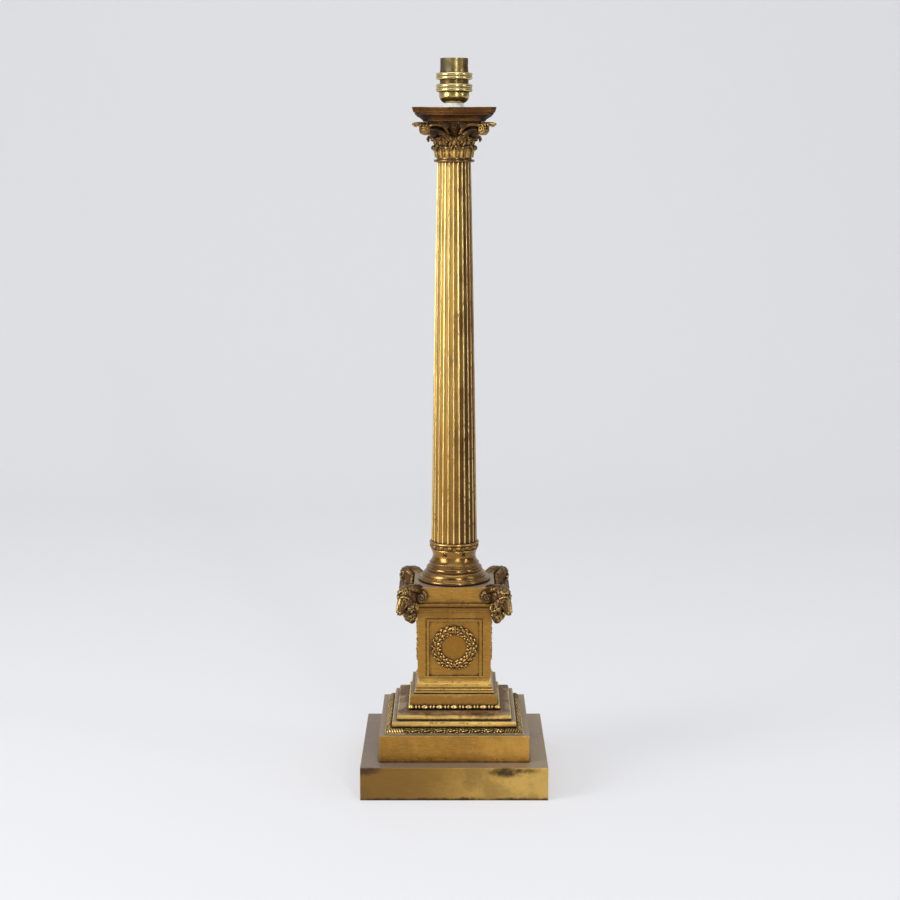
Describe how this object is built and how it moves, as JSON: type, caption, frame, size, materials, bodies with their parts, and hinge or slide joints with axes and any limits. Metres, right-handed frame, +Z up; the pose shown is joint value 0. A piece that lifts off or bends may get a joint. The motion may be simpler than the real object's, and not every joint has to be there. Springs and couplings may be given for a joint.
{
  "type": "column table lamp",
  "caption": "Table lamp shaped as a fluted Corinthian column on a stepped square pedestal with wreaths and rams' heads, with a bayonet bulb holder on top.",
  "frame": {"origin": "middle of the base, on the surface that the lamp stands on", "axes": "+Z up along the column, -Y the front, +X to the right"},
  "size_m": [0.188, 0.188, 0.7328],
  "materials": {
    "plinth_brass": "dull, tarnished, patchy brown-green",
    "gilt_brass": "satin aged gilt, darker in the corners",
    "column_brass": "polished ridges over brown hollows",
    "chased_bronze": "gilt on the high points, dark brown in the hollows",
    "abacus_bronze": "dark brown satin bronze",
    "holder_brass": "greenish lacquered brass with tarnish",
    "ring_brass": "bright turned brass",
    "plain_brass": "plain turned brass",
    "plain_steel": "zinc plated",
    "cover_steel": "black painted sheet",
    "spring_steel": "bright wire",
    "porcelain": "glazed white",
    "white_filler": "glossy white bedding",
    "bush_plastic": "black moulded",
    "felt": "dark green felt"
  },
  "bodies": {
    "lamp": {"felt_pad": "felt", "base_cover": "cover_steel", "cover_screws": "plain_steel", "plinth": "plinth_brass", "cable_bush": "bush_plastic", "step_block": "gilt_brass", "leaf_moulding": "chased_bronze", "ogee_moulding": "gilt_brass", "bead_moulding": "chased_bronze", "pedestal_base": "gilt_brass", "pedestal_die": "gilt_brass", "pedestal_cap": "gilt_brass", "wreath_front": "chased_bronze", "wreath_right": "chased_bronze", "wreath_back": "chased_bronze", "wreath_left": "chased_bronze", "wreath_studs": "plain_brass", "ram_head_front_left": "chased_bronze", "ram_head_front_right": "chased_bronze", "ram_head_back_left": "chased_bronze", "ram_head_back_right": "chased_bronze", "ram_screws": "plain_brass", "column_base": "column_brass", "shaft_collar": "column_brass", "fluted_shaft": "column_brass", "shaft_astragal": "column_brass", "capital_bell": "chased_bronze", "capital_lower_leaves": "chased_bronze", "capital_upper_leaves": "chased_bronze", "capital_volutes": "chased_bronze", "capital_helices": "chased_bronze", "abacus": "abacus_bronze", "abacus_flowers": "chased_bronze", "tie_rod": "plain_brass", "rod_washer": "plain_steel", "rod_nut": "plain_steel", "rod_locknut": "plain_brass", "seat_filler": "white_filler", "lampholder_cap": "holder_brass", "lampholder_grub_screw": "plain_steel", "lampholder_skirt": "holder_brass", "lampholder_barrel": "holder_brass", "lampholder_insulator": "porcelain", "plunger_spring_left": "spring_steel", "plunger_spring_right": "spring_steel", "terminals": "plain_brass", "terminal_screws": "plain_steel"},
    "lower_ring": {"lower_shade_ring": "ring_brass"},
    "upper_ring": {"upper_shade_ring": "ring_brass"},
    "plunger_l": {"plunger_left": "plain_brass"},
    "plunger_r": {"plunger_right": "plain_brass"}
  },
  "joints": [
    {"name": "lower_ring_lift", "type": "slide", "parent": "lamp", "child": "lower_ring", "axis": [0, 0, 1], "range_m": [0, 0.002]},
    {"name": "upper_ring_lift", "type": "slide", "parent": "lamp", "child": "upper_ring", "axis": [0, 0, 1], "range_m": [-0.002, 0.022]},
    {"name": "plunger_left_press", "type": "slide", "parent": "lamp", "child": "plunger_l", "axis": [0, 0, -1], "range_m": [0, 0.003], "stiffness_N_per_m": 900, "springref_m": -0.003, "deforming": ["plunger_spring_left"]},
    {"name": "plunger_right_press", "type": "slide", "parent": "lamp", "child": "plunger_r", "axis": [0, 0, -1], "range_m": [0, 0.003], "stiffness_N_per_m": 900, "springref_m": -0.003, "deforming": ["plunger_spring_right"]}
  ]
}
